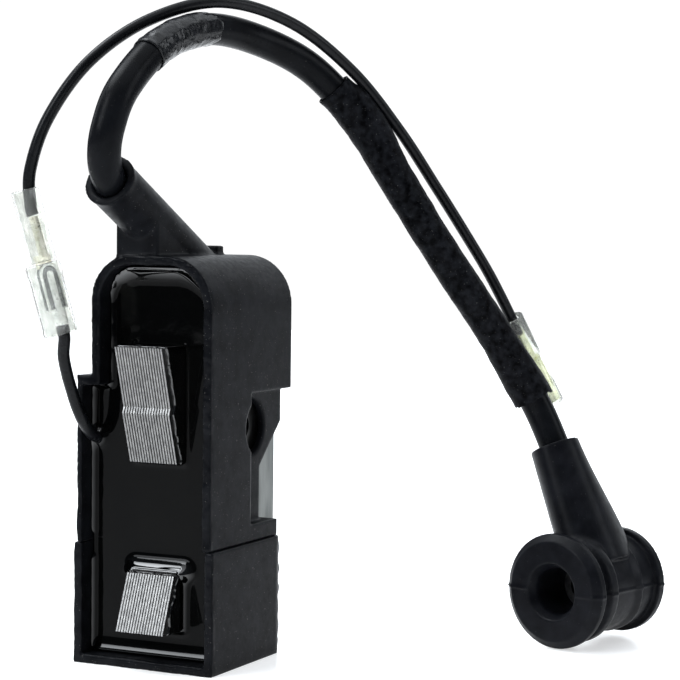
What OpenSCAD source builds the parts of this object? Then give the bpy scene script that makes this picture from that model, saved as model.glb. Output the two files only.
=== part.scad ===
// Ignition coil of a small two-stroke engine, with its plug lead, plug boot and stop lead.
// X runs to the right, Y to the back and Z up. Z = 0 is the foot of the coil body, and its
// open, potted front looks along -Y. Millimetres.

/* [Case] */
// Left side of the upper case above its bulge
case_left = -12.9; // [-16:0.05:-8]
// Right side of the upper case
case_right = 16.65; // [12:0.05:20]
// Height of the upper case above the foot
case_h = 88.65; // [70:0.05:110]
// Left side of the case bulge
bulge_left = -16.5; // [-20:0.05:-13]
// Top of the case bulge
bulge_top = 62.7; // [45:0.1:75]
// Depth of the case in front of the origin
front_depth = 17; // [12:0.1:24]
// Depth of the case behind the origin
back_depth = 19.7; // [15:0.1:28]
// Radius of the upper left corner
left_corner_r = 9.4; // [4:0.1:12]
// Radius of the upper right corner
right_corner_r = 10.9; // [4:0.1:12]
// Thickness of the plastic walls
wall = 2; // [1.2:0.1:3]
// Thickness of the bulge's own side wall
bulge_wall = 1.2; // [1:0.1:2]
// Depth of the potting below the rim
potting_drop = 4.6; // [2:0.1:8]

/* [Lower cover] */
// Width of the lower cover
cover_w = 34.6; // [30:0.1:40]
// Height of the lower cover
cover_h = 26.25; // [20:0.05:32]
// Depth of the lower cover behind the origin
cover_back = 15.75; // [12:0.05:20]

/* [Core] */
// Number of laminations in the stack
lamination_count = 18; // [10:1:24]
// Thickness of one lamination
lamination_t = 0.6; // [0.35:0.05:0.8]
// Distance from one lamination to the next
lamination_pitch = 0.655; // [0.36:0.005:0.9]
// Diameter of the mounting bolt's hole
bolt_hole_d = 5.3; // [4.3:0.1:6.6]
// Diameter of the pocket round the mounting bolt
bolt_pocket_d = 12.7; // [10:0.1:15]

/* [High tension lead] */
// Diameter of the high tension lead
lead_d = 7; // [5:0.5:8]
// Outside diameter of the tower that the lead comes out of
tower_d = 10.9; // [9:0.1:14]
// Outside diameter of the protective sleeve
lead_sleeve_d = 8.5; // [8:0.1:11]

/* [Plug boot] */
// Diameter of the boot's front flange
boot_flange_d = 26.2; // [22:0.1:30]
// Diameter of the boot's barrel
boot_barrel_d = 21.8; // [18:0.1:26]
// Diameter of the bore that grips the spark plug
boot_bore_d = 10.8; // [9:0.1:13]

/* [Stop lead] */
// Diameter of the stop lead and its extension
wire_d = 2.6; // [1.6:0.1:3.2]
// Width of the blade that joins the stop lead to its extension
tab_w = 3.8; // [2.8:0.1:4.8]
// Thickness of the blade
tab_t = 0.8; // [0.5:0.1:0.8]
// Width of the clear housing round the blade's socket
housing_w = 7.2; // [6.4:0.1:9]
// Thickness of the clear housings
housing_t = 4.5; // [4:0.1:6]
// Diameter of the free end's socket, which takes a bullet terminal
end_socket_d = 3.9; // [3:0.1:5]

/* [View] */
// The sub-part that is drawn, or all of them

/* [Hidden] */
$fn = 48;
touch = 0.05;

// The case: its rim, the seam above the lower cover, and the floors of its two cells
rim_y = -front_depth;
potting_y = rim_y + potting_drop;
seam_z = 26.5;
cell_back = -1.7;
recess_y = 1.3;
recess_z = [30.2, 59];
shelf_top = 61.5;
case_foot_back = 13.5;
web_x = [12.3, 14.1];

// The core: the stack's sides, the leg in the windings and the bolt that holds it all
core_x = [-4, -4 + (lamination_count - 1) * lamination_pitch + lamination_t];
leg_z = [44.5, 60];
leg_tail = 12;
bolt_y = 5.2;
bolt_z = 51.2;
rivet_d = 3;
leg_outline = [
  [-22, 69.4], [-18.3, 56.5], [-18.8, 55.2], [-15.5, leg_z[0]], [leg_tail, leg_z[0]],
  [leg_tail, leg_z[1]], [-11, leg_z[1]], [-11, 69.4]
];
yoke_outline = [
  [leg_tail + touch, leg_z[0] - touch], [8, leg_z[0] - touch], [8, 33], [2, 26.5],
  [2, 20.65], [-16.4, 20.65], [-21, 8.65], [13.7, 8.65], [13.7, 26.5], [19.7, 33],
  [19.7, 59], [18.7, 60], [leg_tail + touch, 60]
];

// The windings: two bobbins round the leg, one inside the other
coil_x = (core_x[0] + core_x[1]) / 2;
coil_z = (leg_z[0] + leg_z[1]) / 2;
coil_y = [-10.4, -2.4];
leg_w = core_x[1] - core_x[0];
leg_h = leg_z[1] - leg_z[0];
bobbin_wall = 0.8;
primary_t = 1.8;
secondary_t = 2.4;

// The high tension tower: the middle of its mouth, and the tilt of its axis from upright
tower_mouth = [-1.76, -27.7, 104.35];
tower_tilt = 62.2;
lead_in_tower = 6;

// The boot: the middle of its front flange, its heading, and its neck
boot_at = [69.8, 47.8, boot_flange_d / 2];
boot_turn = -16;
neck_rim = [63.95, 61.96, 44.67];
neck_tilt = 24.75;
neck_turn = 164;
neck_grip = 8;
neck_len = 30;

// The blade connector and the free end, each with the tilt and turn of its axis. The blade
// lies across its connector at blade_roll, and the housings stand off its leads' line.
blade_at = [-14.7, -24.6, 71.8];
blade_tilt = 15;
blade_turn = -147.3;
blade_roll = 131;
housing_offset = -0.9;
tab_offset = -0.5;
end_at = [52.6, 62.1, 74.2];
end_tilt = 148.4;
end_turn = 58;

// Routes of the leads, from the coil outwards
ht_points = [
  [-1.8, -22.4, 101.6], [-1.8, -27.4, 104.2], [-0.8, -31.2, 108.8], [0.5, -31.8, 115.2],
  [1.8, -28, 123.4], [3, -15.5, 133], [5, -0.5, 137.6], [8.8, 14.8, 136.8], [16, 28, 131.3],
  [24, 36, 120.6], [32.3, 39.2, 107.2], [39.5, 43.3, 94], [46.5, 49.2, 80.8],
  [53.1, 56.2, 67.4], [59.1, 61.8, 54.6], [63.95, 61.96, 44.67], [67.2, 61, 37.4]
];
stop_points = [
  [-13.8, -12.4, 48.8], [-13.8, -15.4, 50], [-14, -18.3, 52.8], [-14.6, -20, 56.2],
  [-15.1, -21.4, 60], [-15.4, -22.7, 63.6], [-15.4, -23.9, 67.3], [-14.8, -24.5, 71],
  [-15.1, -24.9, 73.7]
];
extension_points = [
  [-20.36, -28.24, 96.91], [-20.8, -28.5, 98.9], [-20.6, -28.9, 106.5],
  [-17, -27.4, 117.6], [-10, -22.4, 129.6], [-2.2, -11, 139], [6.8, 3.9, 143.8],
  [15.4, 20.9, 140.4], [24.1, 34.3, 130.4], [32.2, 42.4, 117.4], [38.8, 49, 104.4],
  [43.9, 53.4, 94.4], [48, 57.2, 85.9], [51, 59.6, 79.1], [53.9, 64.1, 70.3]
];

function unit(v) = v / norm(v);

// A point on the smooth curve through p, between p[i] and p[i + 1]
function on_curve(p, i, t) =
  let (a = p[max(i - 1, 0)], b = p[i], c = p[i + 1], d = p[min(i + 2, len(p) - 1)])
  (2 * b + (c - a) * t + (2 * a - 5 * b + 4 * c - d) * t * t
    + (3 * b - a - 3 * c + d) * t * t * t) / 2;

// The curve through p, with two steps between one point and the next
function curve(p) = [
  for (i = [0 : len(p) - 2], t = [0, 0.5]) on_curve(p, i, t),
  p[len(p) - 1]
];

function heading(q, i) = unit(q[min(i + 1, len(q) - 1)] - q[max(i - 1, 0)]);

// A ring of points round the curve q at its point i
function ring(q, i, r, sides) =
  let (t = heading(q, i), u = unit(cross(t, [1, 0, 0])), v = cross(t, u))
  [for (k = [0 : sides - 1]) q[i] + r * cos(360 * k / sides) * u + r * sin(360 * k / sides) * v];

// A round tube along the points from to last of the curve q
module swept(q, d, sides, from = 0, last = -1) {
  end = last < 0 ? len(q) - 1 : last;
  n = end - from;
  points = [for (i = [from : end]) each ring(q, i, d / 2, sides)];
  side = [for (i = [0 : n - 1], k = [0 : sides - 1])
    let (a = i * sides + k, b = i * sides + (k + 1) % sides)
    each [[a, a + sides, b + sides], [a, b + sides, b]]];
  caps = [[for (k = [0 : sides - 1]) k], [for (k = [sides - 1 : -1 : 0]) n * sides + k]];
  polyhedron(points = points, faces = concat(side, caps), convexity = 6);
}

// The same, hollow, as one closed skin
module swept_pipe(q, d, bore, sides, from, last) {
  n = last - from;
  size = (n + 1) * sides;
  points = [
    for (i = [from : last]) each ring(q, i, d / 2, sides),
    for (i = [from : last]) each ring(q, i, bore / 2, sides)
  ];
  outside = [for (i = [0 : n - 1], k = [0 : sides - 1])
    let (a = i * sides + k, b = i * sides + (k + 1) % sides)
    each [[a, a + sides, b + sides], [a, b + sides, b]]];
  inside = [for (f = outside) [f[2] + size, f[1] + size, f[0] + size]];
  ends = [for (k = [0 : sides - 1])
    let (b = (k + 1) % sides, e = n * sides)
    each [
      [k, b, b + size], [k, b + size, k + size],
      [e + b, e + k, e + k + size], [e + b, e + k + size, e + b + size]
    ]];
  polyhedron(points = points, faces = concat(outside, inside, ends), convexity = 8);
}

// An outline in X and Z, drawn out along Y
module along_y(y0, y1) {
  translate([0, y1, 0]) rotate([90, 0, 0]) linear_extrude(y1 - y0) children();
}

// An outline in Y and Z, drawn out along X
module along_x(x0, x1) {
  translate([x0, 0, 0]) rotate([90, 0, 90]) linear_extrude(x1 - x0) children();
}

module box(low, high) {
  translate(low) cube(high - low);
}

module bolt_cylinder(d, x0, x1) {
  translate([x0, bolt_y, bolt_z]) rotate([0, 90, 0]) cylinder(h = x1 - x0, d = d);
}

module in_tower() {
  translate(tower_mouth) rotate([tower_tilt, 0, 0]) children();
}

module in_boot() {
  translate(boot_at) rotate([0, 0, boot_turn]) rotate([-90, 0, 0]) children();
}

// Z points up along the neck, out of its rim
module in_neck() {
  translate(neck_rim) rotate([0, -neck_tilt, neck_turn - 180]) children();
}

// Z points up the connector, X across the flat of its blade and Y along the blade's width
module in_blade() {
  translate(blade_at) rotate([0, blade_tilt, blade_turn]) rotate([0, 0, blade_roll]) children();
}

module in_end() {
  translate(end_at) rotate([0, end_tilt, end_turn]) children();
}

module pipe(d, bore, z0, z1) {
  translate([0, 0, z0]) difference() {
    cylinder(h = z1 - z0, d = d);
    translate([0, 0, -1]) cylinder(h = z1 - z0 + 2, d = bore);
  }
}

// The upper case seen from the front, drawn in by inset and open below
module case_outline(inset) {
  foot = seam_z - inset;
  left = case_left + left_corner_r;
  right = case_right - right_corner_r;
  translate([case_left + inset, foot]) square([left - case_left, case_h - left_corner_r - foot]);
  translate([left, foot]) square([right - left, case_h - inset - foot]);
  translate([right, foot]) square([case_right - inset - right, case_h - right_corner_r - foot]);
  translate([left, case_h - left_corner_r]) circle(left_corner_r - inset);
  translate([right, case_h - right_corner_r]) circle(right_corner_r - inset);
  side = bulge_left + inset * bulge_wall / wall;
  translate([side, foot]) square([-side, bulge_top - inset - foot]);
}

// The lower cover seen from above, drawn in by inset and open in front
module cover_outline(inset) {
  r = 4;
  half = cover_w / 2 - inset;
  back = cover_back - inset;
  translate([-half, rim_y - inset]) square([2 * half, back - r - rim_y + inset]);
  translate([-half + r - inset, 0]) square([2 * (half - r + inset), back]);
  for (x = [-1, 1]) {
    translate([x * (half - r + inset), back - r + inset]) circle(r - inset);
  }
}

module core_space() {
  side = [core_x[0] - touch, core_x[1] + touch];
  box([side[0], cell_back - 1, leg_z[0] - 2 * touch], [side[1], back_depth + 1, leg_z[1] + touch]);
  box([side[0], recess_y - 0.1, seam_z - 1], [side[1], back_depth + 1, recess_z[0] + 1]);
}

module case_shell() {
  inner = [bulge_left + bulge_wall, case_right - wall];
  cover_inner = cover_w / 2 - wall - touch;
  partition = core_x[0] - touch - wall;
  color("DimGray") difference() {
    union() {
      difference() {
        union() {
          along_y(rim_y, back_depth) case_outline(0);
          tower_body();
          box([-3, 13, case_h - 1], [1, 16, case_h + 2]);
        }
        along_y(rim_y - 1, cell_back) case_outline(wall);
        intersection() {
          along_y(cell_back - 1, back_depth - wall) case_outline(wall);
          box([-30, -10, shelf_top], [30, 30, case_h]);
        }
        box([partition + wall, recess_y, recess_z[0]], [30, 30, recess_z[1]]);
        box([inner[0], cell_back - 1, recess_z[0] + wall],
          [partition, back_depth - wall, bulge_top - wall]);
        box([-30, case_foot_back, 0], [30, 30, recess_z[0]]);
        box([inner[0], cell_back - 1, 0], [inner[1], case_foot_back - wall, recess_z[0] - wall]);
      }
      along_x(web_x[0], web_x[1]) polygon([
        [0, 29], [9.75, 29], [9.75, 42], [19.6, 51.4], [19.6, 60], [0, 60]
      ]);
      intersection() {
        bolt_cylinder(bolt_pocket_d + 2 * wall, inner[0] - 1, core_x[0] - touch);
        box([inner[0] - 1, cell_back, 0], [0, back_depth, case_h]);
      }
      for (x = [-cover_inner, cover_inner - 1.2]) {
        box([x, potting_y + 0.4, seam_z - 3.5], [x + 1.2, 10, seam_z + 1.5]);
      }
      box([inner[0] - 0.2, potting_y + 0.4, seam_z], [-cover_inner + 1, 10, seam_z + 1.5]);
    }
    core_space();
    bolt_cylinder(bolt_pocket_d, bulge_left - 1, core_x[0]);
    bolt_cylinder(bolt_pocket_d, web_x[0] - 1, case_right + 1);
    in_tower() translate([0, 0, -12]) cylinder(h = 13, d = lead_d + 0.2);
    in_tower() translate([0, 0, -1.2]) cylinder(h = 1.3, d1 = lead_d + 0.2, d2 = lead_d + 1.6);
    in_tower() translate([0, 0, -41]) cylinder(h = 30, d = 2.7);
  }
}

// The tower for the high tension lead, on the wedge that carries it to the case's top
module tower_body() {
  intersection() {
    in_tower() union() {
      translate([0, 0, -48]) cylinder(h = 48, d = tower_d);
      translate([0, 0, -2]) cylinder(h = 2, d1 = tower_d, d2 = tower_d + 0.6);
    }
    box([-20, -60, case_h - 1.6], [20, 30, 150]);
  }
  along_x(-7.1, 3.25) polygon([[-16.5, case_h - 1.5], [-16.5, 98.4], [5, case_h - 1.5]]);
}

module lower_cover() {
  color("DarkSlateGray") union() {
    difference() {
      linear_extrude(cover_h) cover_outline(0);
      translate([0, 0, wall]) linear_extrude(cover_h) cover_outline(wall);
    }
    for (z = [4 : 4.4 : 23]) {
      box([-13, cover_back - 0.1, z], [13, cover_back + 0.7, z + 2.2]);
    }
  }
}

module potting_resin() {
  inner = cover_w / 2 - wall - touch;
  color("Black") difference() {
    union() {
      along_y(potting_y, cell_back - touch) case_outline(wall + touch);
      intersection() {
        along_y(potting_y, back_depth - wall - touch) case_outline(wall + touch);
        box([-30, -30, shelf_top + touch], [30, 30, case_h]);
      }
      box([-inner, potting_y, wall + touch], [inner, 1.5, cover_h - touch]);
      box([bulge_left + bulge_wall + touch, cell_back - 1, recess_z[0] + wall + touch],
        [core_x[0] - wall - 2 * touch, back_depth - wall - touch, bulge_top - wall - touch]);
    }
    bolt_cylinder(bolt_pocket_d + 2 * (wall + touch), bulge_left, 0);
    for (x = [-inner - 6.8, inner - 1.2 - touch]) {
      box([x, potting_y + 0.3, seam_z - 3.6], [x + 8 + touch, 11, seam_z + 1.6]);
    }
    box([core_x[0] - touch, -30, leg_z[0] - touch], [core_x[1] + touch, 0, 69.4 + touch]);
    box([core_x[0] - touch, -30, 8.65 - touch], [core_x[1] + touch, 30, 20.65 + touch]);
    coil_block(secondary_t + 2.8, 0.1);
    control_board();
    switch_transistor();
    board_resistors();
    board_capacitor();
    in_tower() translate([0, 0, -41]) cylinder(h = 30, d = 2.7);
  }
}

// A block round the leg, as thick as the turns on it
module coil_block(t, extra) {
  w = leg_w + 2 * (t + bobbin_wall + 0.4);
  h = leg_h + 2 * (t + bobbin_wall + 0.4);
  box([coil_x - w / 2, coil_y[0] - extra, coil_z - h / 2],
    [coil_x + w / 2, cell_back, coil_z + h / 2]);
}

module lamination_bores() {
  bolt_cylinder(bolt_hole_d, core_x[0] - 1, core_x[1] + 1);
  rivets(rivet_d + 0.1, core_x[0] - 1, core_x[1] + 1);
}

module rivets(d, x0, x1) {
  for (at = [[-14.5, 62.5], [15.5, 40], [15.8, 55.5], [7, 14.6], [-13, 14.6]]) {
    translate([x0, at[0], at[1]]) rotate([0, 90, 0]) cylinder(h = x1 - x0, d = d, $fn = 24);
  }
}

module core_leg() {
  color("Silver") difference() {
    for (i = [0 : lamination_count - 1]) {
      x = core_x[0] + i * lamination_pitch;
      along_x(x, x + lamination_t) polygon(leg_outline);
    }
    lamination_bores();
  }
}

module core_yoke() {
  color("Gray") difference() {
    for (i = [0 : lamination_count - 1]) {
      x = core_x[0] + i * lamination_pitch;
      along_x(x, x + lamination_t) polygon(yoke_outline);
    }
    lamination_bores();
  }
}

module core_rivets() {
  color("DarkGray") rivets(rivet_d, core_x[0] - touch, core_x[1] + touch);
}

module spacer_plate() {
  color("LightSlateGray") difference() {
    box([core_x[1] + touch, 3, 31], [web_x[0] - touch, back_depth, 58]);
    bolt_cylinder(bolt_hole_d, core_x[1] - 1, web_x[0] + 1);
  }
}

// A rectangle with round corners
module rounded(w, h, r) {
  square([w - 2 * r, h], center = true);
  square([w, h - 2 * r], center = true);
  for (x = [-1, 1], z = [-1, 1]) {
    translate([x * (w / 2 - r), z * (h / 2 - r)]) circle(r);
  }
}

// A frame round the leg: gap is how far it stands off the leg, t how thick it is
module coil_frame(gap, t, y0, y1) {
  translate([coil_x, 0, coil_z]) along_y(y0, y1) difference() {
    rounded(leg_w + 2 * (gap + t), leg_h + 2 * (gap + t), 1.5 + t);
    square([leg_w + 2 * gap, leg_h + 2 * gap], center = true);
  }
}

module bobbin(gap, turns) {
  coil_frame(gap, bobbin_wall, coil_y[0], coil_y[1]);
  for (y = [coil_y[0], coil_y[1] - bobbin_wall]) {
    coil_frame(gap, bobbin_wall + turns, y, y + bobbin_wall);
  }
}

module primary_bobbin() {
  color("Khaki") bobbin(0.1, primary_t);
}

module primary_winding() {
  y0 = coil_y[0] + bobbin_wall + touch;
  y1 = coil_y[1] - bobbin_wall - touch;
  color("Chocolate") coil_frame(0.1 + bobbin_wall + touch, primary_t - touch, y0, y1);
}

module secondary_bobbin() {
  color("Wheat") bobbin(0.2 + bobbin_wall + primary_t, secondary_t);
}

module secondary_winding() {
  gap = 0.2 + 2 * bobbin_wall + primary_t + touch;
  y0 = coil_y[0] + bobbin_wall + touch;
  y1 = coil_y[1] - bobbin_wall - touch;
  color("Peru") coil_frame(gap, secondary_t - touch, y0, y1);
}

module control_board() {
  color("ForestGreen") box([-12.5, -4.6, 24], [12.5, -3.4, 35.5]);
}

module switch_transistor() {
  color("Black") box([-11, -7.8, 25], [-3, -4.6, 34.5]);
}

module board_resistors() {
  for (z = [27, 32]) {
    color("Tan") translate([-0.5, -5.9, z]) rotate([0, 90, 0]) cylinder(h = 6.5, d = 2.4);
  }
}

module board_capacitor() {
  color("RoyalBlue") box([7.8, -9.4, 26], [11.8, -4.6, 33.5]);
}

module ht_contact() {
  color("Gold") in_tower() union() {
    translate([0, 0, -lead_in_tower - 1.4]) cylinder(h = 1.3, d = 5);
    translate([0, 0, -40]) cylinder(h = 34, d = 2.5);
  }
}

module ht_lead() {
  color("Black") swept(curve(ht_points), lead_d, 12);
}

module tape_patch() {
  color("DarkSlateGray") swept_pipe(curve(ht_points), lead_d + 0.8, lead_d + 0.1, 12, 10, 12);
}

module lead_sleeve() {
  color("DimGray") swept_pipe(curve(ht_points), lead_sleeve_d, lead_d + 0.5, 12, 17, 28);
}

module plug_boot() {
  flange = boot_flange_d / 2;
  barrel = boot_barrel_d / 2;
  color("DarkSlateGray") difference() {
    union() {
      in_boot() rotate_extrude() polygon([
        [0, -1.5], [flange - 1.8, -1.5], [flange, 0], [flange, 3.2], [flange - 1.9, 3.4],
        [flange - 1.9, 5.2], [flange - 0.6, 5.4], [flange - 0.6, 7.6], [barrel, 8],
        [barrel, 16.4], [barrel + 0.6, 16.6], [barrel + 0.6, 17.4], [barrel, 17.6],
        [barrel, 24], [barrel + 1.3, 24.2], [barrel + 1.3, 26.2], [barrel - 1, 27.4], [0, 27.4]
      ]);
      in_neck() translate([0, 0, -neck_len]) cylinder(h = neck_len, d1 = 14.8, d2 = 11.5);
    }
    in_boot() translate([0, 0, -2]) cylinder(h = 12, d = boot_bore_d);
    in_boot() translate([0, 0, 9]) cylinder(h = 12, d = boot_bore_d - 0.8);
    in_boot() translate([0, 0, -1.6]) cylinder(h = 2.1, d1 = 13.2, d2 = boot_bore_d);
    in_neck() translate([0, 0, -neck_grip - 0.3]) cylinder(h = neck_grip + 1, d = lead_d + 0.8);
    in_neck() translate([0, 0, -neck_len - 1.6]) cylinder(h = neck_len, d = 2.1);
  }
}

module plug_terminal() {
  color("Gold") union() {
    in_boot() pipe(boot_bore_d - 0.9, 6.4, 10.6, 20.6);
    in_neck() translate([0, 0, -neck_len - 1.2]) cylinder(h = neck_len - neck_grip + 0.8, d = 2);
  }
}

module stop_lead() {
  color("Black") swept(stop_points, wire_d, 8);
}

// A flat block from z0 to z1, w wide along Y and t thick along X
module flat(w, t, offset, z0, z1) {
  translate([-t / 2, offset - w / 2, z0]) cube([t, w, z1 - z0]);
}

// A housing of that outside size, open at both ends
module flat_pipe(w, t, skin, offset, z0, z1) {
  translate([0, offset, z0]) linear_extrude(z1 - z0) difference() {
    rounded(t, w, 1.2);
    square([t - 2 * skin, w - 2 * skin], center = true);
  }
}

module stop_socket() {
  color("Silver") in_blade() difference() {
    union() {
      translate([0, 0, 2.2]) cylinder(h = 3.5, d = 2.9);
      flat(tab_w + 1, tab_t + 1.1, tab_offset, 5.5, 13);
      translate([0, tab_offset, 13]) intersection() {
        rotate([0, 90, 0]) cylinder(h = tab_t + 1.1, d = tab_w + 1, center = true);
        flat(tab_w + 1, tab_t + 1.1, 0, 0, 3);
      }
    }
    flat(tab_w + 0.1, tab_t + 0.1, tab_offset, 6.5, 20);
  }
}

module socket_housing() {
  color("Gainsboro") in_blade() flat_pipe(housing_w, housing_t, 0.5, housing_offset, 0.2, 15.6);
}

module stop_tab() {
  color("Goldenrod") in_blade() union() {
    flat(tab_w, tab_t, tab_offset, 7.5, 17.5);
    translate([0, 0, 17]) cylinder(h = 8.75, d = 2);
  }
}

module tab_housing() {
  color("Gainsboro") in_blade() union() {
    flat_pipe(housing_w - 1.6, housing_t, 0.4, tab_offset, 16, 24.6);
    translate([0, -0.4, 24.2]) difference() {
      cylinder(h = 7.4, d = wire_d + 2.6);
      translate([0, 0, -1]) cylinder(h = 9, d = wire_d + 1.6);
    }
  }
}

module extension_lead() {
  color("DimGray") swept(curve(extension_points), wire_d, 8);
}

module end_terminal() {
  color("Gold") in_end() difference() {
    union() {
      translate([0, 0, 4.7]) cylinder(h = 7, d = 3);
      translate([0, 0, 11.5]) cylinder(h = 11.5, d = end_socket_d + 0.6);
    }
    translate([0, 0, 13]) cylinder(h = 11, d = end_socket_d);
  }
}

module end_sleeve() {
  color("Gainsboro") in_end() pipe(end_socket_d + 1.7, end_socket_d + 0.7, 0, 24);
}

case_shell();
lower_cover();
potting_resin();
core_leg();
core_yoke();
core_rivets();
spacer_plate();
primary_bobbin();
primary_winding();
secondary_bobbin();
secondary_winding();
control_board();
switch_transistor();
board_resistors();
board_capacitor();
ht_contact();
ht_lead();
tape_patch();
lead_sleeve();
plug_boot();
plug_terminal();
stop_lead();
stop_socket();
socket_housing();
stop_tab();
tab_housing();
extension_lead();
end_terminal();
end_sleeve();
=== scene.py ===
"""Looks for the ignition coil: case, potting, core, leads and connectors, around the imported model."""
import math

import bmesh
import bpy
from mathutils import Matrix, Vector, kdtree, noise


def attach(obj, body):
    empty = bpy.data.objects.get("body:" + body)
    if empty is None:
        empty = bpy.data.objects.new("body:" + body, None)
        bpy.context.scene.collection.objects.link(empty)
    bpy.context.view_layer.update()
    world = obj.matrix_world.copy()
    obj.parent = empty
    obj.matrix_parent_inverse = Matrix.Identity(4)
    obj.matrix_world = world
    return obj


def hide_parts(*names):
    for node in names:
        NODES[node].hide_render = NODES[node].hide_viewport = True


MM = 0.001
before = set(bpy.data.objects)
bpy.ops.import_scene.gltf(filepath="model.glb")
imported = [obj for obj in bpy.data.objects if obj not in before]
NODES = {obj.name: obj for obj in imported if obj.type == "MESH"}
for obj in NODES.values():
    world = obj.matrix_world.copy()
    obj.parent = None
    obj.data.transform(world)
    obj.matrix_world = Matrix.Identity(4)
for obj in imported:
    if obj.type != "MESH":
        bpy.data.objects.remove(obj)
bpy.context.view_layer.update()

# Without a seed, noise_vector takes its offsets from the clock and the rim differs from run to run
noise.seed_set(1)


# --- camera -------------------------------------------------------------------------------------
def add_camera(at, azimuth, elevation, roll, lens):
    """A camera that looks along +Y at azimuth 0, and turns to look towards -X as it grows."""
    az, el = math.radians(azimuth), math.radians(elevation)
    back = Vector((math.sin(az) * math.cos(el), -math.cos(az) * math.cos(el), math.sin(el)))
    right = Vector((math.cos(az), math.sin(az), 0.0))
    up = back.cross(right)
    turn = Matrix.Rotation(math.radians(roll), 3, back)
    right, up = turn @ right, turn @ up
    camera = bpy.data.objects.new("camera", bpy.data.cameras.new("camera"))
    camera.data.sensor_width = 36.0
    camera.data.lens = lens
    camera.data.clip_start = 0.01
    camera.matrix_world = Matrix.Translation(at) @ Matrix((right, up, back)).transposed().to_4x4()
    bpy.context.scene.collection.objects.link(camera)
    bpy.context.scene.camera = camera


add_camera(Vector((0.23398, -0.39978, 0.09562)), azimuth=26.08, elevation=3.13, roll=0.60, lens=111.56)
bpy.context.scene.view_settings.view_transform = "Standard"


# --- meshes -------------------------------------------------------------------------------------
def add_mesh(name, verts, faces, smooth=True):
    """A piece from points in metres, with its faces turned outwards."""
    mesh = bpy.data.meshes.new(name)
    mesh.from_pydata([tuple(v) for v in verts], [], faces)
    mesh.validate()
    bm = bmesh.new()
    bm.from_mesh(mesh)
    bmesh.ops.recalc_face_normals(bm, faces=bm.faces)
    bm.to_mesh(mesh)
    bm.free()
    for polygon in mesh.polygons:
        polygon.use_smooth = smooth
    obj = bpy.data.objects.new(name, mesh)
    bpy.context.scene.collection.objects.link(obj)
    return obj


def copy_of(node, name):
    """A new piece with a copy of a CAD sub-part's mesh."""
    obj = bpy.data.objects.new(name, NODES[node].data.copy())
    bpy.context.scene.collection.objects.link(obj)
    return obj


def use_modifier(obj, kind, **settings):
    """Applies a modifier to a piece's own mesh."""
    modifier = obj.modifiers.new(kind.lower(), kind)
    for key, value in settings.items():
        setattr(modifier, key, value)
    graph = bpy.context.evaluated_depsgraph_get()
    mesh = bpy.data.meshes.new_from_object(obj.evaluated_get(graph))
    obj.modifiers.remove(modifier)
    old = obj.data
    obj.data = mesh
    bpy.data.meshes.remove(old)
    return obj


def rounded_off(obj, voxel, steps):
    """Remeshes a closed piece and relaxes it, so that its edges are round as moulding leaves them."""
    use_modifier(obj, "REMESH", mode="VOXEL", voxel_size=voxel * MM, use_smooth_shade=True)
    if steps:
        use_modifier(obj, "SMOOTH", factor=0.5, iterations=steps)
    return obj


def reshape(obj, moved):
    """Moves each vertex to moved(its place), both in millimetres."""
    for vertex in obj.data.vertices:
        vertex.co = moved(vertex.co / MM) * MM
    obj.data.update()


def place(at, *turns):
    """The frame at a point in millimetres, turned about each axis by degrees, the last turn first."""
    matrix = Matrix.Translation(Vector(at))
    for axis, angle in turns:
        matrix = matrix @ Matrix.Rotation(math.radians(angle), 4, axis)
    return matrix


def smoothstep(low, high, value):
    """0 up to low, 1 from high, and a smooth rise between them. It falls if low is the larger."""
    t = min(max((value - low) / (high - low), 0.0), 1.0)
    return t * t * (3 - 2 * t)


def off_axis(p):
    return math.hypot(p.x, p.y)


# --- places of the boot, its neck, the blade connector and the extension lead's free end --------
BOOT = place((69.8, 47.8, 13.1), ("Z", -16), ("X", -90))
NECK = place((63.95, 61.96, 44.67), ("Z", -16), ("Y", -24.75))
BLADE = place((-14.7, -24.6, 71.8), ("Z", -147.3), ("Y", 15), ("Z", 131))
END = place((52.6, 62.1, 74.2), ("Z", 58), ("Y", 148.4))

# The routes of the leads, as in the part's source
HT_POINTS = [
    (-1.8, -22.4, 101.6), (-1.8, -27.4, 104.2), (-0.8, -31.2, 108.8), (0.5, -31.8, 115.2),
    (1.8, -28, 123.4), (3, -15.5, 133), (5, -0.5, 137.6), (8.8, 14.8, 136.8), (16, 28, 131.3),
    (24, 36, 120.6), (32.3, 39.2, 107.2), (39.5, 43.3, 94), (46.5, 49.2, 80.8),
    (53.1, 56.2, 67.4), (59.1, 61.8, 54.6), (63.95, 61.96, 44.67), (67.2, 61, 37.4),
]
STOP_POINTS = [
    (-13.8, -12.4, 48.8), (-13.8, -15.4, 50), (-14, -18.3, 52.8), (-14.6, -20, 56.2),
    (-15.1, -21.4, 60), (-15.4, -22.7, 63.6), (-15.4, -23.9, 67.3), (-14.8, -24.5, 71),
    (-15.1, -24.9, 73.7),
]
EXTENSION_POINTS = [
    (-20.36, -28.24, 96.91), (-20.8, -28.5, 98.9), (-20.6, -28.9, 106.5),
    (-17, -27.4, 117.6), (-10, -22.4, 129.6), (-2.2, -11, 139), (6.8, 3.9, 143.8),
    (15.4, 20.9, 140.4), (24.1, 34.3, 130.4), (32.2, 42.4, 117.4), (38.8, 49, 104.4),
    (43.9, 53.4, 94.4), (48, 57.2, 85.9), (51, 59.6, 79.1), (53.9, 64.1, 70.3),
]
LEAD_R = 3.5
WIRE_R = 1.3


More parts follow.
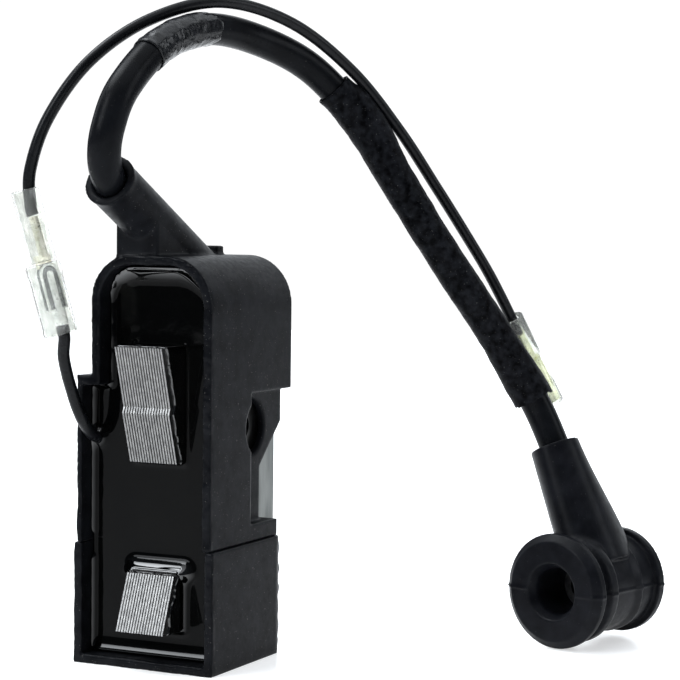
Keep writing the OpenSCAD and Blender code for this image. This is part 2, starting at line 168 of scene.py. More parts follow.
# --- tubes and prisms ---------------------------------------------------------------------------
def curve_through(points, steps):
    """The smooth curve through points given in millimetres, as points in metres."""
    p = [Vector(q) * MM for q in points]
    out = []
    for i in range(len(p) - 1):
        a, b, c, d = p[max(i - 1, 0)], p[i], p[i + 1], p[min(i + 2, len(p) - 1)]
        for j in range(steps):
            t = j / steps
            out.append((2 * b + (c - a) * t + (2 * a - 5 * b + 4 * c - d) * t * t
                        + (3 * b - a - 3 * c + d) * t * t * t) / 2)
    out.append(p[-1])
    return out


def frames_along(path):
    """For each point: its distance along the path in millimetres, itself, and two directions across."""
    out, side, gone = [], None, 0.0
    for i, point in enumerate(path):
        ahead = (path[min(i + 1, len(path) - 1)] - path[max(i - 1, 0)]).normalized()
        if side is None:
            side = ahead.orthogonal().normalized()
        side = (side - ahead * side.dot(ahead)).normalized()
        if i:
            gone += (point - path[i - 1]).length / MM
        out.append((gone, point, side, ahead.cross(side)))
    return out


def ring_faces(rings, sides, base=0):
    """The faces between rings of points that follow each other."""
    return [(base + i * sides + k, base + i * sides + (k + 1) % sides,
             base + (i + 1) * sides + (k + 1) % sides, base + (i + 1) * sides + k)
            for i in range(rings - 1) for k in range(sides)]


def open_tube_faces(rings, sides):
    """The faces of a tube with both ends open: its outer rings come first, then its inner ones."""
    inner, last = rings * sides, (rings - 1) * sides
    faces = ring_faces(rings, sides)
    faces += [tuple(reversed(face)) for face in ring_faces(rings, sides, inner)]
    for k in range(sides):
        b = (k + 1) % sides
        faces.append((b, k, k + inner, b + inner))
        faces.append((last + k, last + b, last + b + inner, last + k + inner))
    return faces


FRAYED = 5


def sweep(name, path, radius, sides, bore=None, fray=None):
    """A tube of radius(along, around) in millimetres. With a bore it is open, and its end is frayed."""
    frames = frames_along(path)
    whole = frames[-1][0]
    verts = []
    for skin in ([radius, bore] if bore else [radius]):
        for along, point, u, v in frames:
            ahead = u.cross(v)
            pull = smoothstep(whole - FRAYED, whole, along) if fray else 0
            for k in range(sides):
                a = 2 * math.pi * k / sides
                r = skin(along, a) * MM
                lag = fray(a) * pull * MM if fray else 0
                verts.append(point + (u * math.cos(a) + v * math.sin(a)) * r + ahead * lag)
    if bore:
        return add_mesh(name, verts, open_tube_faces(len(frames), sides))
    last = (len(frames) - 1) * sides
    ends = [tuple(range(sides - 1, -1, -1)), tuple(range(last, last + sides))]
    return add_mesh(name, verts, ring_faces(len(frames), sides) + ends)


def crinkle(along, around, size, seed):
    """Noise on a tube's skin, with features of about that size in millimetres."""
    r = 4.0 / size
    return noise.noise(Vector((math.cos(around) * r, math.sin(around) * r, along / size + seed)))


def revolve(name, matrix, profile, sides=64):
    """A closed ring round the matrix's Z axis, from (radius, height) points in millimetres."""
    turns = [2 * math.pi * k / sides for k in range(sides)]
    verts = [matrix @ Vector((r * math.cos(a), r * math.sin(a), z)) * MM for r, z in profile for a in turns]
    faces = ring_faces(len(profile), sides)
    last = (len(profile) - 1) * sides
    faces += [(last + k, last + (k + 1) % sides, (k + 1) % sides, k) for k in range(sides)]
    return add_mesh(name, verts, faces)


def flat_tube(name, matrix, stations, skin, corner=1.2):
    """A flat tube open at both ends. A station has a height, a width, a thickness and an offset."""
    verts, sides = [], 40
    for inset in (0, skin):
        for z, width, thick, offset in stations:
            for k in range(sides):
                a = 2 * math.pi * (k + 0.5) / sides
                c = corner - inset * 0.8
                x = math.copysign(thick / 2 - inset - c, math.cos(a)) + c * math.cos(a)
                y = math.copysign(width / 2 - inset - c, math.sin(a)) + c * math.sin(a)
                verts.append(matrix @ Vector((x, y + offset, z)) * MM)
    return add_mesh(name, verts, open_tube_faces(len(stations), sides))


def prism(name, x_range, outline, smooth=True):
    """A block between two places on X, whose outline is in Y and Z, all in millimetres."""
    verts = [Vector((x, y, z)) * MM for x in x_range for y, z in outline]
    n = len(outline)
    faces = [tuple(range(n - 1, -1, -1)), tuple(range(n, 2 * n))]
    faces += [(k, (k + 1) % n, (k + 1) % n + n, k + n) for k in range(n)]
    return add_mesh(name, verts, faces, smooth)


# --- materials ----------------------------------------------------------------------------------
CASE_TOP = 88.65
MOST_NOISE = (0.35, 0.65)
DUST = (0.30, 0.29, 0.27)
# The colour of the painted shade on the plate inside the pocket round its bolt
BOLT_POCKET_SHADE = (0.012, 0.012, 0.012)
SMEARED_ROUGHNESS = 0.13


def link(tree, value, socket):
    tree.links.new(value, socket)


def object_coords(tree):
    return tree.nodes.new("ShaderNodeTexCoord").outputs["Object"]


def noise_on(tree, coords, size, detail, stretch=(1, 1, 1)):
    """Noise with features of that size in millimetres, longer along an axis whose stretch is more."""
    mapping = tree.nodes.new("ShaderNodeMapping")
    mapping.inputs["Scale"].default_value = [1 / (MM * size * s) for s in stretch]
    link(tree, coords, mapping.inputs["Vector"])
    texture = tree.nodes.new("ShaderNodeTexNoise")
    texture.inputs["Scale"].default_value = 1.0
    texture.inputs["Detail"].default_value = detail
    link(tree, mapping.outputs["Vector"], texture.inputs["Vector"])
    return texture.outputs["Fac"]


def ranged(tree, value, low, high, out_low, out_high):
    """The value, spread from low..high to out_low..out_high and held inside it."""
    node = tree.nodes.new("ShaderNodeMapRange")
    for key, number in (("From Min", low), ("From Max", high), ("To Min", out_low), ("To Max", out_high)):
        node.inputs[key].default_value = number
    link(tree, value, node.inputs["Value"])
    return node.outputs["Result"]


def mixed(tree, factor, a, b):
    """A mix of two colours, each a colour or another node's output."""
    node = tree.nodes.new("ShaderNodeMix")
    node.data_type = "RGBA"
    link(tree, factor, node.inputs["Factor"])
    for socket, value in ((node.inputs["A"], a), (node.inputs["B"], b)):
        if isinstance(value, tuple):
            socket.default_value = (*value, 1.0)
        else:
            link(tree, value, socket)
    return node.outputs["Result"]


def glossy_before(tree, coords, gloss, front):
    """Smeared gloss in front of a depth and below the case's top, and the finish's own gloss elsewhere."""
    split = tree.nodes.new("ShaderNodeSeparateXYZ")
    link(tree, coords, split.inputs[0])
    behind = ranged(tree, split.outputs["Y"], front * MM, (front + 0.7) * MM, 0, 1)
    above = ranged(tree, split.outputs["Z"], (CASE_TOP - 0.2) * MM, (CASE_TOP + 0.4) * MM, 0, 1)
    satin = tree.nodes.new("ShaderNodeMath")
    satin.operation = "MAXIMUM"
    link(tree, behind, satin.inputs[0])
    link(tree, above, satin.inputs[1])
    blend = tree.nodes.new("ShaderNodeMix")
    link(tree, satin.outputs[0], blend.inputs["Factor"])
    blend.inputs["A"].default_value = SMEARED_ROUGHNESS
    link(tree, gloss, blend.inputs["B"])
    return blend.outputs["Result"]


def material(name, dark, light, rough, blotch=6, grain=0.5, bump=0.05, stretch=(1, 1, 1), dust=None,
             glossy_front=None, **sockets):
    """A finish that varies over blotches from dark to light and in gloss, with a fine grain in its bump.

    Sizes are in millimetres. Dust is its specks' size, the noise that they start at and their strength.
    """
    mat = bpy.data.materials.new(name)
    mat.use_nodes = True
    tree = mat.node_tree
    shader = tree.nodes["Principled BSDF"]
    for key, value in sockets.items():
        shader.inputs[key.replace("_", " ")].default_value = value
    coords = object_coords(tree)
    blotches = ranged(tree, noise_on(tree, coords, blotch, 4, stretch), *MOST_NOISE, 0, 1)
    color = mixed(tree, blotches, dark, light)
    grains = noise_on(tree, coords, grain, 2, stretch)
    gloss = ranged(tree, noise_on(tree, coords, blotch / 3, 5, stretch), *MOST_NOISE, *rough)
    if dust:
        size, start, strength = dust
        specks = ranged(tree, noise_on(tree, coords, size, 1), start, start + 0.05, 0, strength)
        color = mixed(tree, specks, color, DUST)
    if glossy_front is not None:
        gloss = glossy_before(tree, coords, gloss, glossy_front)
    link(tree, color, shader.inputs["Base Color"])
    link(tree, gloss, shader.inputs["Roughness"])
    node = tree.nodes.new("ShaderNodeBump")
    node.inputs["Strength"].default_value = 1.0
    node.inputs["Distance"].default_value = bump * MM
    link(tree, grains, node.inputs["Height"])
    link(tree, node.outputs["Normal"], shader.inputs["Normal"])
    return mat


def shinier_where_it_crept(mat, flat, crept_up, levels):
    """Raises a resin's specular level from its flat pool to where it has crept up, both places on Y."""
    tree = mat.node_tree
    split = tree.nodes.new("ShaderNodeSeparateXYZ")
    link(tree, object_coords(tree), split.inputs[0])
    pool_level, crept_level = levels
    level = ranged(tree, split.outputs["Y"], crept_up * MM, flat * MM, crept_level, pool_level)
    link(tree, level, tree.nodes["Principled BSDF"].inputs["Specular IOR Level"])


def painted_shade_round_bolt(mat, centre, radius):
    """Paints shade on a plate inside a round pocket about a bolt along X, whose centre is in Y and Z, where
    the pocket lies in shadow.
    """
    tree = mat.node_tree
    shader = tree.nodes["Principled BSDF"]
    across = tree.nodes.new("ShaderNodeMapping")
    across.inputs["Scale"].default_value = (0, 1, 1)
    link(tree, object_coords(tree), across.inputs["Vector"])
    away = tree.nodes.new("ShaderNodeVectorMath")
    away.operation = "DISTANCE"
    away.inputs[1].default_value = Vector((0, *centre)) * MM
    link(tree, across.outputs["Vector"], away.inputs[0])
    unshaded = ranged(tree, away.outputs["Value"], radius * MM, (radius + 1) * MM, 0, 1)
    color = shader.inputs["Base Color"].links[0].from_socket
    link(tree, mixed(tree, unshaded, BOLT_POCKET_SHADE, color), shader.inputs["Base Color"])


def dress(obj, mat):
    obj.data.materials.clear()
    obj.data.materials.append(mat)


def finished(obj, mat, slot, body, *nodes):
    """Gives a piece its finish and its body, and hides the sub-parts that it stands for."""
    dress(obj, mat)
    if nodes:
        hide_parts(*nodes)
    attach(obj, body)
    return obj


PLASTIC = material("case_plastic", (0.003, 0.0033, 0.0042), (0.007, 0.0076, 0.0092), (0.38, 0.48), blotch=4,
                   grain=0.22, bump=0.016, dust=(0.35, 0.73, 0.3), glossy_front=-17.1,
                   Specular_IOR_Level=0.046)
RESIN = material("potting_resin", (0.0008, 0.0009, 0.001), (0.0016, 0.0017, 0.0016), (0.03, 0.06), blotch=9,
                 grain=3.0, bump=0.008)
shinier_where_it_crept(RESIN, flat=-12.6, crept_up=-13.8, levels=(0.07, 0.9))
STEEL = material("core_steel", (0.14, 0.14, 0.139), (0.21, 0.209, 0.206), (0.3, 0.42), blotch=1.2,
                 grain=0.12, bump=0.01, Metallic=1.0)
VARNISH = material("lamination_varnish", (0.01, 0.009, 0.007), (0.03, 0.026, 0.02), (0.3, 0.5), blotch=1.5,
                   Specular_IOR_Level=0.3)
PLATE = material("plate_steel", (0.09, 0.098, 0.095), (0.17, 0.18, 0.174), (0.3, 0.45), blotch=4, grain=0.15,
                 bump=0.01, stretch=(1, 1, 6), Metallic=1.0)
# Painted shade: the plate is darkened inside the pocket round its bolt, where it lies in shadow
painted_shade_round_bolt(PLATE, centre=(5.2, 51.2), radius=6.3)
RUBBER = material("lead_rubber", (0.0025, 0.0028, 0.0035), (0.005, 0.0055, 0.0068), (0.26, 0.34), blotch=8,
                  grain=0.3, bump=0.012, dust=(0.4, 0.76, 0.2), Specular_IOR_Level=0.045)
SLEEVE = material("sleeve_rubber", (0.001, 0.0011, 0.0014), (0.009, 0.0098, 0.0118), (0.3, 0.5), blotch=1.7,
                  grain=0.6, bump=0.07, dust=(0.3, 0.73, 0.25), Specular_IOR_Level=0.02)
TAPE = material("tape", (0.0025, 0.0028, 0.0034), (0.006, 0.0065, 0.0078), (0.12, 0.32), blotch=2.5,
                grain=0.6, bump=0.07, Specular_IOR_Level=0.24)
BOOT_RUBBER = material("boot_rubber", (0.003, 0.0033, 0.0045), (0.0065, 0.007, 0.009), (0.3, 0.42), blotch=4,
                       grain=0.16, bump=0.012, dust=(0.3, 0.76, 0.2), Specular_IOR_Level=0.066)
WIRE = material("wire_black", (0.0025, 0.0028, 0.0034), (0.005, 0.0055, 0.0066), (0.24, 0.34), blotch=5,
                grain=0.2, bump=0.008, Specular_IOR_Level=0.13)
SPRING = material("spring_steel", (0.03, 0.03, 0.032), (0.07, 0.07, 0.072), (0.45, 0.6), blotch=2, grain=0.2,
                  bump=0.01, Metallic=0.9)
TIN = material("terminal_tin", (0.8, 0.81, 0.79), (0.9, 0.91, 0.89), (0.25, 0.34), blotch=2, grain=0.5,
               bump=0.003, Metallic=0.35)
RAIL = material("terminal_rail", (0.1, 0.105, 0.105), (0.22, 0.23, 0.23), (0.25, 0.34), blotch=2, grain=0.5,
                bump=0.003, Metallic=0.8)
BRASS = material("terminal_brass", (0.6, 0.57, 0.45), (0.86, 0.84, 0.74), (0.25, 0.4), blotch=1.2, grain=0.3,
                 bump=0.008, Metallic=0.9)
PALE = material("terminal_pale", (0.78, 0.8, 0.5), (0.9, 0.92, 0.7), (0.25, 0.4), blotch=1.5, grain=0.15,
                bump=0.012, Metallic=0.6)
CLEAR = material("clear_sleeve", (0.72, 0.74, 0.71), (0.91, 0.92, 0.89), (0.08, 0.24), blotch=2.4, grain=1.2,
                 bump=0.04, Transmission_Weight=0.93, IOR=1.32)
BOBBIN = material("bobbin_plastic", (0.3, 0.24, 0.14), (0.42, 0.35, 0.22), (0.4, 0.55), blotch=3)
WINDING = material("winding_wire", (0.24, 0.07, 0.03), (0.5, 0.2, 0.09), (0.25, 0.4), blotch=0.4, grain=0.12,
                   bump=0.08, stretch=(30, 1, 30), Metallic=0.8)
LAMINATE = material("board_laminate", (0.02, 0.1, 0.03), (0.05, 0.18, 0.06), (0.35, 0.5), blotch=1.2)
COMPONENT = material("component_plastic", (0.02, 0.02, 0.022), (0.05, 0.05, 0.05), (0.4, 0.55), blotch=2)

LOOKS = {
    "core_rivets": STEEL, "primary_bobbin": BOBBIN, "secondary_bobbin": BOBBIN,
    "primary_winding": WINDING, "secondary_winding": WINDING, "control_board": LAMINATE,
    "switch_transistor": COMPONENT, "board_resistors": COMPONENT, "board_capacitor": COMPONENT,
    "ht_contact": BRASS, "plug_terminal": SPRING, "stop_socket": TIN, "stop_tab": BRASS,
    "end_terminal": PALE,
}
for node, look in LOOKS.items():
    dress(NODES[node], look)

# --- leads and what is on them ------------------------------------------------------------------
ht_path = curve_through(HT_POINTS, 10)
stop_path = curve_through(STOP_POINTS, 8)
extension_path = curve_through(EXTENSION_POINTS, 10)


def lead_skin(size):
    """A skin of that radius that is very slightly uneven."""
    return lambda along, around: size + 0.02 * crinkle(along, around, 14, 3)


ht_cable = sweep("ht_cable", ht_path, lead_skin(LEAD_R), 56)
stop_wire = sweep("stop_wire", stop_path, lead_skin(WIRE_R), 28)
extension_wire = sweep("extension_wire", extension_path, lead_skin(WIRE_R), 28)

# The spans are points of ht_path, and the rest is in millimetres
TAPE_T = 0.2
TAPE_PITCH = 9.0
TAPE_SPAN = (47, 60)
SLEEVE_T = 0.42
SLEEVE_REACH = 0.58
SLEEVE_SPAN = (85, 139)


def tape_skin(along, around):
    """Tape wound in a spiral, with a step at the edge of each turn and wrinkles over it."""
    turns = abs(((along / TAPE_PITCH + around / (2 * math.pi)) % 1.0) - 0.5)
    step = 0.12 * smoothstep(0.40, 0.46, turns)
    return (LEAD_R + TAPE_T + step + 0.22 * crinkle(along, around, 3.4, 5)
            + 0.16 * abs(crinkle(along, around, 1.5, 9)))


def tape_bore(along, around):
    return LEAD_R + 0.02


def tape_fray(around):
    """The tape is cut at a slant, with a torn edge."""
    torn = noise.noise(Vector((math.cos(around) * 2, math.sin(around) * 2, 7)))
    return 2.2 * math.cos(around - 1.0) + 1.2 * torn


def sleeve_skin(along, around):
    """Creased rubber, wider at its lower end, which bulges near its upper end."""
    creases = 0.2 * crinkle(along, around, 9.0, 2) + 0.14 * crinkle(along, around, 2.6, 4)
    ticks = 0.1 * abs(crinkle(along * 1.4, around, 1.2, 8))
    flare = 0.75 * smoothstep(70, 84, along) + 0.2 * smoothstep(3, 0, along)
    bulge = 1.3 * smoothstep(0, 6, along) * smoothstep(26, 12, along) * max(0.0, math.cos(around + 2.7)) ** 2
    return LEAD_R + SLEEVE_REACH + creases + ticks + flare + bulge


def sleeve_bore(along, around):
    return sleeve_skin(along, around) - SLEEVE_T


def sleeve_fray(around):
    """The sleeve's lower end is ragged, with one long tongue."""
    ragged = noise.noise(Vector((math.cos(around) * 4, math.sin(around) * 4, 2)))
    return 0.7 * ragged + max(0.0, math.cos(around + 2.86)) ** 8


def finer(path, first, last, parts):
    """The stretch of a path between two of its points, in that many parts to a step."""
    out = []
    for i in range(first, last):
        out += [path[i].lerp(path[i + 1], j / parts) for j in range(parts)]
    return out + [path[last]]


tape_patch = finished(
    sweep("tape_wrap", finer(ht_path, *TAPE_SPAN, 4), tape_skin, 96, tape_bore, tape_fray),
    TAPE, "tape", "coil", "tape_patch")
lead_sleeve = finished(
    sweep("protective_sleeve", finer(ht_path, *SLEEVE_SPAN, 4), sleeve_skin, 96, sleeve_bore, sleeve_fray),
    SLEEVE, "sleeve_rubber", "coil", "lead_sleeve")

# --- connector and free end ---------------------------------------------------------------------
RAIL_R = 1.1
SOCKET_Y = -0.5
RAIL_SPREAD = 1.45
CROWN_Z = 13
# Heights up the socket's sides, in quarters of a millimetre
QUARTERS = range(23, 52)


def rail_route():
    """Up one side of the flat socket, round over its crown and down the other, in Y and Z."""
    route = [(SOCKET_Y - RAIL_SPREAD, quarter / 4) for quarter in QUARTERS]
    for i in range(17):
        a = i * math.pi / 16
        route.append((SOCKET_Y - RAIL_SPREAD * math.cos(a), CROWN_Z + RAIL_SPREAD * math.sin(a)))
    return route + [(SOCKET_Y + RAIL_SPREAD, quarter / 4) for quarter in reversed(QUARTERS)]


rail_path = [BLADE @ Vector((0, y, z)) * MM for y, z in rail_route()]
finished(sweep("socket_rails", rail_path, lambda along, around: RAIL_R, 20), RAIL, "terminal_tin", "coil")

socket_housing = finished(
    flat_tube("lower_housing", BLADE, [
        (0.2, 6.7, 4.1, -0.9), (0.5, 7.1, 4.5, -0.9), (1.6, 7.2, 4.5, -0.9), (1.9, 7.0, 4.3, -0.9),
        (12.6, 7.0, 4.3, -0.9), (13.0, 7.2, 4.5, -0.9), (15.2, 7.2, 4.5, -0.9), (15.6, 6.9, 4.2, -0.9),
    ], 0.5), CLEAR, "clear_sleeve", "coil", "socket_housing")
tab_housing = finished(
    flat_tube("upper_housing", BLADE, [
        (16.0, 5.5, 4.4, -0.5), (16.3, 5.6, 4.5, -0.5), (20.5, 5.5, 4.5, -0.5), (22.5, 5.3, 4.7, -0.45),
        (24.4, 5.2, 5.2, -0.4), (31.2, 5.2, 5.2, -0.4), (31.6, 5.0, 5.0, -0.4),
    ], 0.4, 1.8), CLEAR, "clear_sleeve", "extension", "tab_housing")


def tube_profile(outer, inner, z0, z1, lip=0.15):
    """The section of a tube's wall, with its edges cut off by lip."""
    return [(inner, z0 + lip), (inner + lip, z0), (outer - lip, z0), (outer, z0 + lip),
            (outer, z1 - lip), (outer - lip, z1), (inner + lip, z1), (inner, z1 - lip)]


end_sleeve = finished(revolve("free_end_sleeve", END, tube_profile(2.8, 2.3, 0, 24)), CLEAR, "clear_sleeve",
                      "end_cover", "end_sleeve")

# --- plug boot ----------------------------------------------------------------------------------
plug_boot = rounded_off(copy_of("plug_boot", "boot"), 0.27, 2)
TO_BOOT = BOOT.inverted()
TO_NECK = NECK.inverted()
BOOT_BACK = BOOT.to_3x3() @ Vector((0, 0, 1))
NECK_FLARE = 4.5
FLANGE_THINNED = 1.5
SEAM_WIDTH = 0.28
BORE_LIP_R = 6.6


def neck_flare(p):
    """How far back the neck spreads at its foot, towards the back flange and clear of the barrel."""
    n, q = TO_NECK @ p, TO_BOOT @ p
    outwards = NECK.to_3x3() @ Vector((n.x, n.y, 0)).normalized()
    backwards = max(0.0, outwards.dot(BOOT_BACK))
    off_barrel = smoothstep(10.4, 12.4, off_axis(q))
    return NECK_FLARE * smoothstep(0, -26, n.z) * smoothstep(12.5, 8.5, off_axis(n)) * backwards * off_barrel


def boot_shape(p):
    """The neck's flare, a thinner front flange with a wider ring behind it, and the parting line."""
    q = TO_BOOT @ (p + BOOT_BACK * neck_flare(p))
    r = off_axis(q)
    rings = smoothstep(8.5, 9.5, r)
    q.z += rings * FLANGE_THINNED * (smoothstep(3.4, 7.6, q.z) - smoothstep(0.2, 3.2, q.z))
    outside = smoothstep(9.0, 10.0, r)
    seam = math.exp(-(q.y / SEAM_WIDTH) ** 2)
    grow = 1 + 0.26 * seam * outside / max(r, 1.0)
    if q.z < 3.0 and r > BORE_LIP_R:
        q.z -= 0.2 * seam
    return BOOT @ Vector((q.x * grow, q.y * grow, q.z))


def blend_neck():
    """Relaxes the boot where its neck meets its barrel."""
    group = plug_boot.vertex_groups.new(name="blend")
    for vertex in plug_boot.data.vertices:
        p = vertex.co / MM
        q, n = TO_BOOT @ p, TO_NECK @ p
        near_barrel = smoothstep(15.5, 11.5, off_axis(q)) * smoothstep(9.8, 10.4, off_axis(q))
        near_neck = smoothstep(11.5, 8.0, off_axis(n)) * smoothstep(-13, -16, n.z)
        group.add([vertex.index], near_barrel * near_neck, "REPLACE")
    use_modifier(plug_boot, "SMOOTH", factor=0.5, iterations=30, vertex_group="blend")
    plug_boot.vertex_groups.clear()


blend_neck()
reshape(plug_boot, boot_shape)
finished(plug_boot, BOOT_RUBBER, "boot_rubber", "boot", "plug_boot")

# --- the cords' facts ---------------------------------------------------------------------------
finished(ht_cable, RUBBER, "lead_rubber", "coil", "ht_lead")
finished(stop_wire, WIRE, "wire_black", "coil", "stop_lead")
finished(extension_wire, WIRE, "wire_black", "extension", "extension_lead")

# --- case, cover and potting --------------------------------------------------------------------
# Depths on Y
RIM_Y = -17.0
POTTING_Y = -12.4
SEAM_BACK = 16
COVER_BACK = 15.75
# The inside of the cell that holds the potting, on X and Z: it is narrower in the case than in the cover
CELL_FLOOR = 2.0
CELL_HALF = 15.3
CASE_CELL_HALF = 14.65
SEAM_Z = 26.4
SHOULDER = (-10.9, 60.7)
# What comes out of the potting: the stop lead on X and Z, the poles on Z and their stack on X
STOP_EXIT = (-13.8, 48.8)
POLES = [(44.45, 69.45), (8.6, 20.7)]
STACK = (-4.05, 7.785)
RIB_PITCH = 4.4


def uneven_rim(p):
    """The moulded rim is smeared with resin, which leaves it uneven."""
    near = smoothstep(RIM_Y + 1.6, RIM_Y + 0.2, p.y)
    if near == 0 or p.z > CASE_TOP + 0.1:
        return p
    coarse = noise.noise_vector(p / 4.0) * 0.16
    fine = noise.noise_vector(p / 1.1) * 0.09
    return p + (coarse + fine) * near


def ribbed_corner(p):
    """The ends of the ribs across the cover's back stand out down its right back corner."""
    near = smoothstep(COVER_BACK - 2.2, COVER_BACK - 0.2, p.y) * smoothstep(9, 16, p.x)
    near *= smoothstep(25.8, 24.6, p.z) * smoothstep(0, 3, p.z)
    wave = 0.7 + 0.25 * math.sin(2 * math.pi * p.z / RIB_PITCH)
    wave += 0.3 * noise.noise(Vector((p.z / 1.3, 0.5, 0.5)))
    return p + Vector((0.5, 1, 0)) * near * wave


def moulded(node, name, voxel, edge, shift):
    """A moulding, with its edge at the seam, between two heights, drawn closer to the other one's."""
    low, high = edge
    piece = rounded_off(copy_of(node, name), voxel, 2)
    reshape(piece, uneven_rim)
    reshape(piece, lambda p: Vector((p.x, p.y, p.z + shift)) if low < p.z < high and p.y < SEAM_BACK else p)
    return finished(piece, PLASTIC, "case_plastic", "coil", node)


moulded("case_shell", "case_body", voxel=0.33, edge=(26.0, 26.9), shift=-0.1)
cover = moulded("lower_cover", "cover_body", voxel=0.3, edge=(25.9, 26.6), shift=0.12)
reshape(cover, ribbed_corner)


def arc(cx, cz, r, start, end, steps=14):
    turns = [math.radians(start + (end - start) * i / steps) for i in range(steps + 1)]
    return [(cx + r * math.cos(a), cz + r * math.sin(a)) for a in turns]


def cell_edges(spacing=0.2):
    """Points that far apart round the inside of the case and cover, in X and Z."""
    outline = [(-CELL_HALF, CELL_FLOOR), (CELL_HALF, CELL_FLOOR)]
    outline += [(CELL_HALF, SEAM_Z), (CASE_CELL_HALF, SEAM_Z)]
    outline += arc(5.75, 77.75, 8.9, 0, 90) + arc(-3.5, 79.25, 7.4, 90, 180)
    outline += [SHOULDER, (-CELL_HALF, SHOULDER[1]), (-CELL_HALF, CELL_FLOOR)]
    points = []
    for (x0, z0), (x1, z1) in zip(outline, outline[1:]):
        steps = max(1, int(math.hypot(x1 - x0, z1 - z0) / spacing))
        points += [(x0 + (x1 - x0) * i / steps, z0 + (z1 - z0) * i / steps) for i in range(steps)]
    return points


EDGES = cell_edges()
NEAREST = kdtree.KDTree(len(EDGES))
for number, (edge_x, edge_z) in enumerate(EDGES):
    NEAREST.insert((edge_x, edge_z, 0), number)
NEAREST.balance()


def from_pole(x, z, low, high):
    """The distance from the foot of a pole between two heights, seen from the front."""
    dx = max(STACK[0] - x, 0, x - STACK[1])
    dz = max(low - z, 0, z - high)
    return math.hypot(dx, dz)


def crept(distance, reach, height, power=3):
    """How high liquid resin stands at a distance from a wall that it has crept up."""
    return height * max(0.0, 1 - distance / reach) ** power + 0.4 * math.exp(-distance / 0.5)


def potting_surface(p):
    """The potting creeps up the walls, the floor, the poles and the stop lead, and is flat between them."""
    if p.y > POTTING_Y + 0.15:
        return p
    at_top = smoothstep(78, 84, p.z)
    over_pole = smoothstep(18, 20.5, p.z)
    wall = NEAREST.find((p.x, p.z, 0))[2]
    up_walls = crept(wall, 1.5 + 3.8 * at_top * smoothstep(-11, -6, p.x), 1.4 + 1.3 * at_top)
    up_floor = crept(p.z - CELL_FLOOR, 3.6, 0.95, 1.3)
    upper, lower = [from_pole(p.x, p.z, *pole) for pole in POLES]
    up_upper = 0.4 * crept(upper, 1.6, 0.9)
    up_lower = crept(lower, 2.0 + 2.0 * over_pole, 0.9 + 1.9 * over_pole, 3 - over_pole)
    rise = max(up_walls, up_floor) + max(up_upper, up_lower)
    rise += math.exp(-((p.x - STOP_EXIT[0]) ** 2 + (p.z - STOP_EXIT[1]) ** 2) / 2.4)
    rise += 0.05 * noise.noise(Vector((p.x / 11, p.z / 17, 4.0)))
    return Vector((p.x, p.y - rise, p.z))


potting = rounded_off(copy_of("potting_resin", "potting"), 0.42, 0)
reshape(potting, potting_surface)
use_modifier(potting, "SMOOTH", factor=0.5, iterations=3)
finished(potting, RESIN, "potting", "coil", "potting_resin")

WET = 0.24
SHORT_OF_FACE = 1.5
IN_POTTING = -11.5


def resin_skin(name, face):
    """The resin that wets a pole's sides, short of its face. The face goes down from its top in Y and Z."""
    low, high = min(z for y, z in face) - WET, max(z for y, z in face) + WET
    edge = [(y + SHORT_OF_FACE, z) for y, z in face]
    outline = [(edge[0][0], high), *edge[1:-1], (edge[-1][0], low), (IN_POTTING, low), (IN_POTTING, high)]
    skin = rounded_off(prism(name, (STACK[0] - WET, STACK[1] + WET), outline), 0.3, 2)
    reshape(skin, lambda p: p + Vector((0, 0.9 * noise.noise(p / 3.0) + 0.3 * noise.noise(p / 1.0), 0)))
    return finished(skin, RESIN, "potting", "coil")


resin_skin("upper_pole_skin", [(-22, 69.4), (-18.3, 56.5), (-18.8, 55.2), (-15.5, 44.5)])
resin_skin("lower_pole_skin", [(-16.4, 20.65), (-21, 8.65)])

# --- core and the plate beside it ---------------------------------------------------------------
FOOT_Z = 31
FOOT_DEPTH = 2.6
PITCH = 0.655
LAMINATION_T = 0.6
STEEL_T = 0.38


def into_ledge(p):
    """The foot of the plate is drawn down: into the case's ledge, and behind the ledge past its top."""
    return p - Vector((0, 0, FOOT_DEPTH * smoothstep(FOOT_Z + 1, FOOT_Z, p.z)))


spacer = copy_of("spacer_plate", "spacer")
reshape(spacer, into_ledge)
finished(spacer, PLATE, "plate_steel", "coil", "spacer_plate")


def bare_steel(p):
    """Each lamination's steel, inside the varnish on its faces."""
    start = STACK[0] + 0.05 + PITCH * int((p.x - STACK[0]) / PITCH)
    x = start + (LAMINATION_T - STEEL_T) / 2 + (p.x - start) * STEEL_T / LAMINATION_T
    return Vector((x, p.y, p.z))


def stamped_edges(p):
    """The sheared edges of the laminations don't quite line up."""
    lamination = int((p.x - STACK[0]) / PITCH)
    return p + Vector((0, 0.07 * noise.noise(Vector((lamination * 1.7, p.z / 30, 0.5))), 0))


for core_part in ("core_leg", "core_yoke"):
    plates = copy_of(core_part, core_part + "_plates")
    reshape(plates, bare_steel)
    use_modifier(plates, "BEVEL", width=0.06 * MM, segments=2, limit_method="ANGLE",
                 angle_limit=math.radians(30))
    reshape(plates, stamped_edges)
    finished(plates, STEEL, "core_steel", "coil", core_part)


def varnish(name, outline):
    """The varnish between the laminations of a pole, a little short of the steel."""
    block = prism(name, (STACK[0] + 0.2, STACK[1] - 0.2), outline, smooth=False)
    use_modifier(block, "BEVEL", width=0.1 * MM, segments=2)
    return finished(block, VARNISH, "potting", "coil")


varnish("upper_pole_varnish", [(-21.8, 69.25), (-18.1, 56.5), (-18.6, 55.2), (-15.3, 44.65),
                               (IN_POTTING, 44.65), (IN_POTTING, 69.25)])
varnish("lower_pole_varnish", [(-16.2, 20.5), (-20.8, 8.8), (IN_POTTING, 8.8), (IN_POTTING, 20.5)])


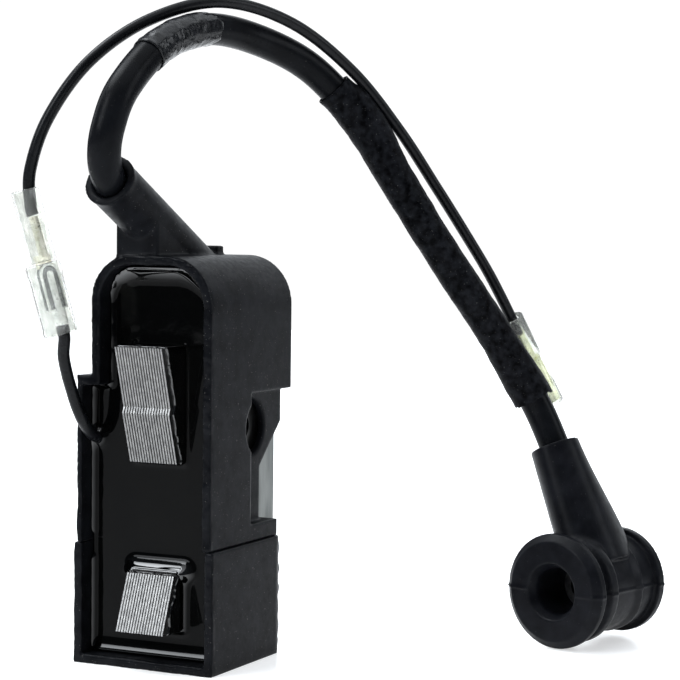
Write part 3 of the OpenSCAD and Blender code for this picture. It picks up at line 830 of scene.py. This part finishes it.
# --- stage and light ----------------------------------------------------------------------------
def add_floor():
    """A glossy white floor that glows a little, as a photo table lit from below does."""
    back, front, half = 1.3, -1.15, 2.5
    floor = add_mesh("floor", [(-half, front, 0), (half, front, 0), (half, back, 0), (-half, back, 0)],
                     [(0, 1, 2, 3)], smooth=False)
    mat = bpy.data.materials.new("floor")
    mat.use_nodes = True
    shader = mat.node_tree.nodes["Principled BSDF"]
    shader.inputs["Base Color"].default_value = (0.9, 0.9, 0.9, 1)
    shader.inputs["Roughness"].default_value = 0.22
    shader.inputs["Emission Color"].default_value = (1, 1, 1, 1)
    shader.inputs["Emission Strength"].default_value = 0.45
    dress(floor, mat)


def add_light(name, at, aim, size, power):
    """A cool white rectangle of light of a size in metres, aimed at a point."""
    light = bpy.data.lights.new(name, "AREA")
    light.color = (0.92, 0.96, 1.0)
    light.shape = "RECTANGLE"
    light.size, light.size_y = size
    light.energy = power
    obj = bpy.data.objects.new(name, light)
    obj.location = at
    obj.rotation_euler = (Vector(aim) - Vector(at)).to_track_quat("-Z", "Y").to_euler()
    bpy.context.scene.collection.objects.link(obj)


def add_world(room, shown):
    """A dim room for light and reflections, in front of a white backdrop."""
    world = bpy.data.worlds.new("studio")
    bpy.context.scene.world = world
    world.use_nodes = True
    tree = world.node_tree
    dim = tree.nodes["Background"]
    dim.inputs["Color"].default_value = (0.9 * room, room, 1.15 * room, 1)
    white = tree.nodes.new("ShaderNodeBackground")
    white.inputs["Color"].default_value = (shown, shown, shown, 1)
    path = tree.nodes.new("ShaderNodeLightPath")
    either = tree.nodes.new("ShaderNodeMath")
    either.operation = "MAXIMUM"
    mix = tree.nodes.new("ShaderNodeMixShader")
    link(tree, path.outputs["Is Camera Ray"], either.inputs[0])
    link(tree, path.outputs["Is Transmission Ray"], either.inputs[1])
    link(tree, either.outputs[0], mix.inputs[0])
    link(tree, dim.outputs[0], mix.inputs[1])
    link(tree, white.outputs[0], mix.inputs[2])
    link(tree, mix.outputs[0], tree.nodes["World Output"].inputs["Surface"])


add_floor()
add_world(room=0.1, shown=1.05)
add_light("top_softbox", (0.1, 0.1, 2.2), (0.02, 0.05, 0), (3.4, 3.6), 62)
add_light("back_softbox", (-0.2, 2.6, 0.9), (0, 0, 0.1), (3.6, 1.6), 30)
add_light("left_softbox", (-1.1, 0.1, 0.7), (0, 0, 0.07), (0.5, 1.0), 3)
add_light("overhead_strip", (-0.9, -0.1, 1.8), (0, 0, 0.05), (1.2, 1.1), 30)
add_light("right_softbox", (1.25, 0.4, 0.62), (0.03, 0.03, 0.06), (0.5, 0.8), 5)
add_light("low_front_strip", (-0.8, -1.5, 0.74), (0, 0, 0.03), (0.9, 0.3), 8)
add_light("front_softbox", (-0.75, -1.35, 1.25), (0, 0, 0.03), (0.6, 0.6), 13)
